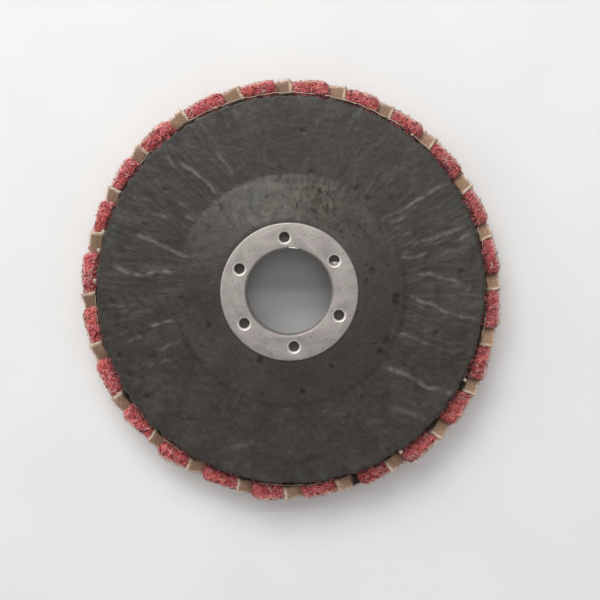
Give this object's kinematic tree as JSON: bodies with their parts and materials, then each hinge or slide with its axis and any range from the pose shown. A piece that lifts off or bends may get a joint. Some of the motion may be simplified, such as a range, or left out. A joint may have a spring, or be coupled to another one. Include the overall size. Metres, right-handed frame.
{
  "type": "flap disc",
  "caption": "Interleaf flap disc for an angle grinder: abrasive cloth and red nonwoven flaps fanned under a fibreglass plate with a metal hub ring.",
  "frame": {"origin": "centre of the bore at the hub ring's back face, which seats on the grinder's flange", "axes": "+Z along the bore axis, out of the back, away from the flaps; +X and +Y across the disc"},
  "size_m": [0.1144, 0.1144, 0.0196],
  "materials": {
    "hub_metal": "satin",
    "laminate": "rough",
    "resin": "satin",
    "abrasive_cloth": "matte",
    "nonwoven_web": "matte"
  },
  "bodies": {
    "root": {"hub_ring": "hub_metal", "backing_plate": "laminate", "resin_bed": "resin", "cloth_flap_01": "abrasive_cloth", "cloth_flap_02": "abrasive_cloth", "cloth_flap_03": "abrasive_cloth", "cloth_flap_04": "abrasive_cloth", "cloth_flap_05": "abrasive_cloth", "cloth_flap_06": "abrasive_cloth", "cloth_flap_07": "abrasive_cloth", "cloth_flap_08": "abrasive_cloth", "cloth_flap_09": "abrasive_cloth", "cloth_flap_10": "abrasive_cloth", "cloth_flap_11": "abrasive_cloth", "cloth_flap_12": "abrasive_cloth", "cloth_flap_13": "abrasive_cloth", "cloth_flap_14": "abrasive_cloth", "cloth_flap_15": "abrasive_cloth", "cloth_flap_16": "abrasive_cloth", "cloth_flap_17": "abrasive_cloth", "cloth_flap_18": "abrasive_cloth", "cloth_flap_19": "abrasive_cloth", "cloth_flap_20": "abrasive_cloth", "cloth_flap_21": "abrasive_cloth", "cloth_flap_22": "abrasive_cloth", "cloth_flap_23": "abrasive_cloth", "cloth_flap_24": "abrasive_cloth", "web_flap_01": "nonwoven_web", "web_flap_02": "nonwoven_web", "web_flap_03": "nonwoven_web", "web_flap_04": "nonwoven_web", "web_flap_05": "nonwoven_web", "web_flap_06": "nonwoven_web", "web_flap_07": "nonwoven_web", "web_flap_08": "nonwoven_web", "web_flap_09": "nonwoven_web", "web_flap_10": "nonwoven_web", "web_flap_11": "nonwoven_web", "web_flap_12": "nonwoven_web", "web_flap_13": "nonwoven_web", "web_flap_14": "nonwoven_web", "web_flap_15": "nonwoven_web", "web_flap_16": "nonwoven_web", "web_flap_17": "nonwoven_web", "web_flap_18": "nonwoven_web", "web_flap_19": "nonwoven_web", "web_flap_20": "nonwoven_web", "web_flap_21": "nonwoven_web", "web_flap_22": "nonwoven_web", "web_flap_23": "nonwoven_web", "web_flap_24": "nonwoven_web"}
  },
  "joints": []
}
